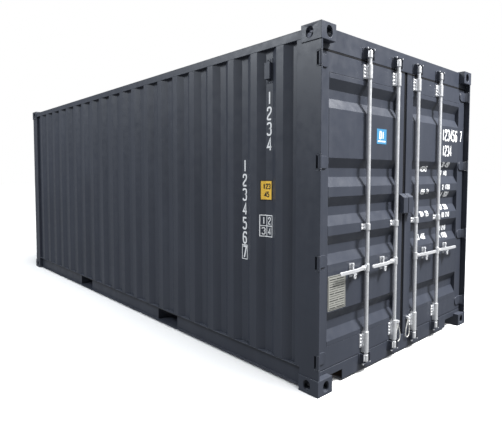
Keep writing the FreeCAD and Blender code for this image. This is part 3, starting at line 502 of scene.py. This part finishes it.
def ribbon(bm, points, width):
    """A flat band of one width along a polyline, closed where its ends meet."""
    points = [Vector(p).to_3d() for p in points]
    closed = (points[0] - points[-1]).length < WELD
    if closed:
        points.pop()
    rows = []
    count = len(points)
    for k, point in enumerate(points):
        before = (point - points[k - 1]).normalized() if k or closed else None
        after = (points[(k + 1) % count] - point).normalized() if k < count - 1 or closed else None
        before, after = before or after, after or before
        along = (before + after).normalized()
        reach = width / 2 / max(0.5, along.dot(after))
        aside = Vector((-along.y, along.x, 0)) * reach
        rows.append((bm.verts.new(point - aside), bm.verts.new(point + aside)))
    for one, two in zip(rows, rows[1:] + rows[:closed]):
        bm.faces.new((one[0], two[0], two[1], one[1]))


def figures(text, height, squeeze=1.0, weight=FIGURE_STROKE):
    """A row of plain figures of one height, centred on its middle."""
    bm = bmesh.new()
    stroke = weight * height
    wide = FIGURE_WIDE * height * squeeze
    step = wide + FIGURE_GAP * height
    tall = (height - stroke) / 2
    for k, figure in enumerate(text):
        if figure == " ":
            continue
        start = (k - (len(text) - 1) / 2) * step - wide / 2
        round_strokes, straight_strokes = FIGURES[figure]
        for points in [softened(list(p)) for p in round_strokes] + straight_strokes:
            ribbon(bm, [(start + x * wide, (y - 1) * tall) for x, y in points], stroke)
    return bm


WALLS = {
    "left": Wall("root", ["side_wall_left"], (0, -1, 0), (-1, 0, 0)),
    "right": Wall("root", ["side_wall_right"], (0, 1, 0), (1, 0, 0)),
    "left_door": Wall("left_door", ["left_door_panel", "left_door_frame"], (1, 0, 0), (0, -1, 0)),
    "right_door": Wall("right_door", ["right_door_panel", "right_door_frame"], (1, 0, 0), (0, -1, 0)),
    "plate": Wall("left_door", ["data_plate"], (1, 0, 0), (0, -1, 0)),
}


def side_signs(side, upper, lower):
    """Two columns of figures, a yellow sticker and a boxed square, near a side wall's door end."""
    wall = WALLS[side]
    turn = -SIDES[side]                      # across runs to -Y on the left wall and +Y on the right
    near, far, middle = (turn * -y for y in (SIDE_NEAR_Y, SIDE_FAR_Y, SIDE_STICKER_Y))
    drawn = [(figures(c, NEAR_FIGURE), near, NEAR_COLUMN_TOP - k * COLUMN_PITCH)
             for k, c in enumerate(upper)]
    drawn += [(figures(c, FAR_FIGURE), far, FAR_COLUMN_TOP - k * COLUMN_PITCH)
              for k, c in enumerate(lower)]
    drawn.append((outline(*LAST_FIGURE_BOX), far, FAR_COLUMN_TOP - (len(lower) - 1) * COLUMN_PITCH))
    sign(side + "_wall_figures", wall, SIGN_WHITE, *drawn)

    up = YELLOW_STICKER_UP
    sign(side + "_yellow_sticker", wall, SIGN_YELLOW, (rectangle(*YELLOW_STICKER), middle, up))
    ink = [(outline(*YELLOW_STICKER, 0.006), middle, up)]
    for k, text in enumerate(("123", "45")):
        ink.append((figures(text, 0.046, weight=0.2), middle, up + 0.030 - k * 0.062))
    sign(side + "_yellow_sticker_figures", wall, SIGN_INK, *ink, layer=1)

    up = BOXED_SQUARE_UP
    square = [(outline(*BOXED_SQUARE, 0.007), middle, up), (rectangle(0.006, 0.160), middle, up),
              (rectangle(0.108, 0.006), middle, up)]
    for k, c in enumerate("1234"):
        square.append((figures(c, 0.058), middle + (k % 2 - 0.5) * SQUARE_CELL[0],
                       up - (k // 2 - 0.5) * SQUARE_CELL[1]))
    sign(side + "_boxed_square", wall, SIGN_WHITE, *square)


def door_signs():
    """Figures in rows on the right door, a small sticker on the left door, and its data plate's print."""
    face = WALLS["right_door"]
    rows = [(figures("123456 7", 0.115, ROW_SQUEEZE), 0.924, 1.942),
            (figures("1234", 0.107, ROW_SQUEEZE), DOOR_ROWS_X, 1.790)]
    for across, small_rows in ((DOOR_ROWS_X, DOOR_ROWS), (DOOR_ASIDE_X, DOOR_ASIDE_ROWS)):
        for up, text in small_rows:
            rows.append((figures(text, SMALL_ROW, weight=SMALL_WEIGHT), across, up))
    sign("right_door_figures", face, SIGN_WHITE, *rows)

    face = WALLS["left_door"]
    across = BLUE_STICKER_X
    sign("left_door_sticker", face, SIGN_BLUE, (rectangle(*BLUE_STICKER), across, 1.865))
    sign("left_door_sticker_figures", face, SIGN_WHITE,
         (figures("01", 0.066, weight=0.17), across, 1.876),
         (rectangle(0.110, 0.010), across, 1.826), layer=1)

    low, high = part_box("data_plate")
    middle = (low.x + high.x) / 2
    wide = high.x - low.x
    print_lines = [(outline(wide - 0.012, high.z - low.z - 0.012, 0.003), middle, (low.z + high.z) / 2)]
    for k in range(PLATE_ROWS):
        up = high.z - 0.028 - k * (high.z - low.z - 0.046) / (PLATE_ROWS - 1)
        split = PLATE_SPLITS[k % len(PLATE_SPLITS)]
        for start, end in ((PLATE_MARGIN, split), (split + PLATE_WORD_GAP, 1 - PLATE_MARGIN)):
            print_lines.append((rectangle(wide * (end - start), 0.0032 if k % 3 else 0.006),
                                low.x + wide * (start + end) / 2, up))
    sign("data_plate_print", WALLS["plate"], SIGN_INK, *print_lines)


def solids(node):
    """The boxes of a node's separate solids, in the order of its vertices."""
    bm = bmesh.new()
    bm.from_mesh(NODES[node].data)
    bmesh.ops.remove_doubles(bm, verts=bm.verts, dist=WELD)
    left_over = set(bm.verts)
    boxes = []
    for start in bm.verts:
        if start not in left_over:
            continue
        left_over.remove(start)
        found = [start]
        for vertex in found:
            for edge in vertex.link_edges:
                other = edge.other_vert(vertex)
                if other in left_over:
                    left_over.remove(other)
                    found.append(other)
        boxes.append((Vector([min(v.co[k] for v in found) for k in range(3)]),
                      Vector([max(v.co[k] for v in found) for k in range(3)])))
    bm.free()
    return boxes


side_signs("left", "1234", "1234567")
side_signs("right", "1234", "1234567")
door_signs()


# ================================================================ finished steel

BODY_OF = {node: body for body, nodes in frame["record"]["behaviour"]["bodies"].items() for node in nodes}
SLOT_OF = {sub["node"]: sub["material_slot"] for sub in frame["record"]["subparts"]}


def smooth(mesh, angle):
    """Shades a mesh smooth but for its edges sharper than an angle."""
    mesh.shade_smooth()
    mesh.set_sharp_from_angle(angle=angle)


def round_edges(piece, radius, angle):
    rounding = piece.modifiers.new("rounded_edges", "BEVEL")
    rounding.width = radius
    rounding.segments = 2
    rounding.limit_method = "ANGLE"
    rounding.angle_limit = angle
    rounding.harden_normals = True


def finished(node, radius, finish=None):
    """Stands for a CAD node, with the same shape and its edges rounded."""
    finish = finish or SLOT_OF[node]
    bm = bmesh.new()
    bm.from_mesh(NODES[node].data)
    bmesh.ops.remove_doubles(bm, verts=bm.verts, dist=WELD)
    bmesh.ops.dissolve_limit(bm, angle_limit=FLAT_ANGLE, verts=bm.verts, edges=bm.edges)
    mesh = mesh_from(bm, node + "_finish")
    smooth(mesh, STEEL_SHARP)
    piece = add_object(node + "_finish", mesh, BODY_OF[node], SLOT_MATERIALS[finish])
    round_edges(piece, radius, STEEL_SHARP)
    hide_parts(node)


for cad_node, edge in (("bottom_corner_castings", 0.006), ("top_corner_castings", 0.006),
                       ("door_posts", 0.004), ("door_header", 0.005), ("door_sill", 0.004),
                       ("top_side_rails", 0.006), ("hinge_lugs", 0.002), ("front_posts", 0.003)):
    finished(cad_node, edge)
finished("cam_keepers", 0.0025, finish="grey_paint")
for door_name in DOORS:
    for part, edge in (("frame", 0.004), ("hinge_blades", 0.002), ("bar_brackets", 0.002),
                       ("lock_box", 0.002)):
        finished(door_name + "_" + part, edge)
for side in SIDES:
    for place in ("outer", "inner"):
        finished(side + "_" + place + "_handle", 0.003)
        finished(side + "_" + place + "_lock_bar", 0.0015)


# ================================================================ fittings beyond the CAD model

def bolt_head(bm, place, radius, axis=1):
    """A domed head on a face square to one axis."""
    made = bmesh.ops.create_uvsphere(bm, u_segments=16, v_segments=10, radius=radius)["verts"]
    for vertex in made:
        vertex.co[axis] *= BOLT_DOME
    bmesh.ops.translate(bm, verts=made, vec=place)


def block(bm, low, high):
    made = bmesh.ops.create_cube(bm, size=1)["verts"]
    low, high = Vector(low), Vector(high)
    bmesh.ops.scale(bm, verts=made, vec=high - low)
    bmesh.ops.translate(bm, verts=made, vec=(low + high) / 2)


def ring(bm, x, z, outer, inner, front, back, count=28):
    """A flat ring facing -Y."""
    loops = []
    for radius, y in ((outer, front), (outer, back), (inner, back), (inner, front)):
        turns = [k * math.tau / count for k in range(count)]
        loops.append([bm.verts.new((x + radius * math.cos(t), y, z + radius * math.sin(t))) for t in turns])
    for one, two in zip(loops, loops[1:] + loops[:1]):
        for k in range(count):
            bm.faces.new((one[k - 1], one[k], two[k], two[k - 1]))


def fitting(bm, name, body, slot_name, *nodes, edge=0.0015):
    """A small part with rounded edges, in place of any CAD nodes given."""
    mesh = mesh_from(bm, name)
    smooth(mesh, FITTING_SHARP)
    piece = add_object(name, mesh, body, SLOT_MATERIALS[slot_name])
    if edge:
        round_edges(piece, edge, FITTING_SHARP)
    if nodes:
        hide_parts(*nodes)


def bracket_bolts(door):
    """Columns of bolts down both feet of each lock bar bracket."""
    bm = bmesh.new()
    for low, high in solids(door + "_bar_brackets"):
        if high.x - low.x < 2 * BOLT_ASIDE:
            continue                             # the rope's cleat
        bottom, top = low.z, high.z
        if top - bottom > BRACKET_FOOT + 0.01:   # the sleeve runs on past the feet
            bottom += SLEEVE_BELOW
            top = bottom + BRACKET_FOOT
        count = 4 if top - bottom > 0.06 else 2
        for side in (-1, 1):
            for k in range(count):
                x = (low.x + high.x) / 2 + side * BOLT_ASIDE
                z = bottom + (k + 0.5) * (top - bottom) / count
                bolt_head(bm, (x, high.y - FOOT_THICK, z), BOLT_RADIUS)
    fitting(bm, door + "_bracket_bolts", door, "galvanised", edge=0)


def handle_catches(door):
    """Each handle's catch: a plate, a ledge with an eye below it, and a hasp's knob behind the handle."""
    bm = bmesh.new()
    for low, high in solids(door + "_handle_catches"):
        x = (low.x + high.x) / 2
        face = high.y
        block(bm, (x - 0.017, face - FOOT_THICK, low.z + 0.004), (x + 0.017, face, high.z - 0.006))
        ledge = high.z - CATCH_LEDGE_DROP
        block(bm, (x - 0.018, low.y, ledge - CATCH_LEDGE), (x + 0.018, face, ledge))
        eye = ledge - 0.010 - CATCH_EYE
        ring(bm, x - 0.004, eye, CATCH_EYE, 0.006, low.y, low.y + 0.010)
        block(bm, (x - 0.012, low.y + 0.002, eye + 0.008), (x + 0.006, low.y + 0.009, ledge - 0.008))
        back = face - CATCH_BACK
        knob = high.z - CATCH_KNOB
        ring(bm, x, knob, CATCH_KNOB, 0.0035, back, back + 0.012)
        block(bm, (x - 0.008, back + 0.002, knob - 0.046), (x + 0.008, face, knob - 0.008))
        block(bm, (x - 0.007, back + 0.008, knob - 0.008), (x + 0.007, face, knob + 0.007))
    fitting(bm, door + "_handle_catches_finish", door, "galvanised", door + "_handle_catches")


def keeper_rims():
    """Pale zinc rims at the far end of each cam keeper's two cheeks; on the header's keepers they stand in
    for the light on the ledge's up-facing top, a painted highlight.
    """
    bm = bmesh.new()
    for low, high in solids("cam_keepers"):
        x = (low.x + high.x) / 2
        bottom = high.z - RIM if low.z > 1 else low.z          # the header's keepers, or the sill's
        for side in (-1, 1):
            ends = sorted(x + side * reach for reach in RIM_SIDES)
            block(bm, (ends[0], low.y - 0.001, bottom), (ends[1], low.y + RIM, bottom + RIM))
    fitting(bm, "keeper_rims", "root", "galvanised")


def ventilators():
    """Each ventilator's hood on a bolted base, in the trough of the side wall."""
    bm = bmesh.new()
    for low, high in solids("ventilators"):
        out = 1 if low.x > 0 else -1
        inner, outer = sorted((abs(low.x), abs(high.x)))
        y, z = (low.y + high.y) / 2, (low.z + high.z) / 2
        # base, hood, and the tab above and below the hood
        for half_wide, bottom, top, reach in ((0.033, low.z, high.z, VENT_FLANGE),
                                              (0.028, z - 0.062, z + 0.062, outer - inner),
                                              (0.011, z - 0.072, z + 0.074, 0.013)):
            ends = sorted((out * inner, out * (inner + reach)))
            block(bm, (ends[0], y - half_wide, bottom), (ends[1], y + half_wide, top))
        for up in (-0.081, 0.083):
            for along in (-0.015, 0.015):
                bolt_head(bm, (out * (inner + VENT_FLANGE), y + along, z + up), 0.006, axis=0)
    fitting(bm, "ventilators_finish", "root", "vent_plastic", "ventilators", edge=0.003)


def edge_seal(door):
    """The rubber lip round a leaf's edge, filling the gaps beside, above and between the doors."""
    low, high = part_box(door + "_frame")
    out_left, out_right = SEAL_HINGE_LIP, SEAL_CENTRE_LIP
    if door == "right_door":
        out_left, out_right = out_right, out_left
    outer = (low.x - out_left, high.x + out_right, low.z - SEAL_LIP, high.z + SEAL_LIP)
    inner = (low.x + SEAL_INSIDE, high.x - SEAL_INSIDE, low.z + SEAL_INSIDE, high.z - SEAL_INSIDE)
    bm = bmesh.new()
    rings = []
    for x0, x1, z0, z1 in (outer, inner):
        for y in (low.y + SEAL_FRONT, low.y + SEAL_BACK):
            rings.append([bm.verts.new((x, y, z)) for x, z in ((x0, z0), (x1, z0), (x1, z1), (x0, z1))])
    for one, two in ((0, 1), (1, 3), (3, 2), (2, 0)):
        for k in range(4):
            bm.faces.new((rings[one][k - 1], rings[one][k], rings[two][k], rings[two][k - 1]))
    # the strip along the leaf's top that shows from the front: a seal lip, and dark rubber that also stands
    # in for the shadow under the header's edge, painted shadow
    block(bm, (low.x + 0.002, low.y - 0.001, high.z - 0.008),
          (high.x - 0.002, low.y + 0.014, high.z + SEAL_LIP))
    fitting(bm, door + "_edge_seal", door, "seal_rubber", edge=0.0012)


def tie_rope(door):
    """The rope hung from the cleat beside the inner bracket, in place of the CAD model's."""
    side = SIDES[door.split("_")[0]]
    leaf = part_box(door + "_frame")[0]
    low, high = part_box(door + "_tie_rope")
    points = [(BAR_X * side - side * out, (low.y + high.y) / 2, leaf.z + rise) for out, rise in ROPE_ROUTE]
    data = bpy.data.curves.new(door + "_rope", "CURVE")
    data.dimensions = "3D"
    data.bevel_depth = (high.y - low.y) / 2
    data.bevel_resolution = 4
    data.resolution_u = 10
    line = data.splines.new("NURBS")
    line.points.add(len(points) - 1)
    for point, place in zip(line.points, points):
        point.co = (*place, 1)
    line.order_u = 3
    line.use_endpoint_u = True
    data.materials.append(SLOT_MATERIALS["tie_rope"])
    piece = bpy.data.objects.new(door + "_rope", data)
    bpy.context.collection.objects.link(piece)
    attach(piece, door)
    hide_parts(door + "_tie_rope")


ventilators()
keeper_rims()
for door_name in DOORS:
    bracket_bolts(door_name)
    handle_catches(door_name)
    edge_seal(door_name)
    tie_rope(door_name)


# ================================================================ floor, light and camera

def make_floor():
    bm = bmesh.new()
    bmesh.ops.create_grid(bm, x_segments=1, y_segments=1, size=FLOOR_REACH)
    floor = add_object("floor", mesh_from(bm, "floor"), None, floor_card("floor_card"))
    floor.visible_diffuse = False      # no light comes back from it, so that the underside stays dark
    floor.visible_glossy = False


def lamp(name, place, target, size, power, colour=(1, 1, 1)):
    data = bpy.data.lights.new(name, "AREA")
    data.shape = "RECTANGLE"
    data.size, data.size_y = size
    data.energy = power
    data.color = colour
    made = bpy.data.objects.new(name, data)
    made.location = place
    made.rotation_mode = "QUATERNION"
    made.rotation_quaternion = (Vector(target) - Vector(place)).to_track_quat("-Z", "Y")
    bpy.context.collection.objects.link(made)


def make_light():
    """A plain white backdrop for the camera, a dimmer sky for the object, and three lights."""
    world = bpy.data.worlds.new("studio")
    world.use_nodes = True
    tree = world.node_tree
    ambient = tree.nodes["Background"]
    ambient.inputs["Color"].default_value = (*SKY, 1)
    ambient.inputs["Strength"].default_value = SKY_STRENGTH
    backdrop = tree.nodes.new("ShaderNodeBackground")
    backdrop.inputs["Color"].default_value = (1, 1, 1, 1)
    seen = tree.nodes.new("ShaderNodeMixShader")
    ray = tree.nodes.new("ShaderNodeLightPath")
    tree.links.new(ray.outputs["Is Camera Ray"], seen.inputs["Fac"])
    tree.links.new(ambient.outputs["Background"], seen.inputs[1])
    tree.links.new(backdrop.outputs["Background"], seen.inputs[2])
    tree.links.new(seen.outputs["Shader"], tree.nodes["World Output"].inputs["Surface"])
    bpy.context.scene.world = world
    bpy.context.scene.view_settings.view_transform = "Standard"
    lamp("key", KEY_PLACE, KEY_TARGET, KEY_SIZE, KEY_POWER)
    lamp("side_fill", FILL_PLACE, FILL_TARGET, FILL_SIZE, FILL_POWER, FILL_COLOUR)
    overhead = bpy.data.lights.new("overhead", "SUN")
    overhead.energy = SUN_STRENGTH
    overhead.angle = SUN_SPREAD
    made = bpy.data.objects.new("overhead", overhead)
    made.rotation_euler = SUN_TILT
    bpy.context.collection.objects.link(made)


def make_camera():
    forward = Vector((math.cos(CAMERA_PITCH) * math.sin(CAMERA_YAW),
                      math.cos(CAMERA_PITCH) * math.cos(CAMERA_YAW),
                      math.sin(CAMERA_PITCH)))
    data = bpy.data.cameras.new("camera")
    data.lens = CAMERA_LENS
    data.sensor_width = CAMERA_SENSOR
    data.shift_x, data.shift_y = CAMERA_SHIFT
    data.clip_end = CAMERA_REACH
    camera = bpy.data.objects.new("camera", data)
    camera.rotation_mode = "QUATERNION"
    camera.rotation_quaternion = forward.to_track_quat("-Z", "Y")
    camera.location = CAMERA_PLACE
    bpy.context.collection.objects.link(camera)
    bpy.context.scene.camera = camera


make_floor()
make_light()
make_camera()
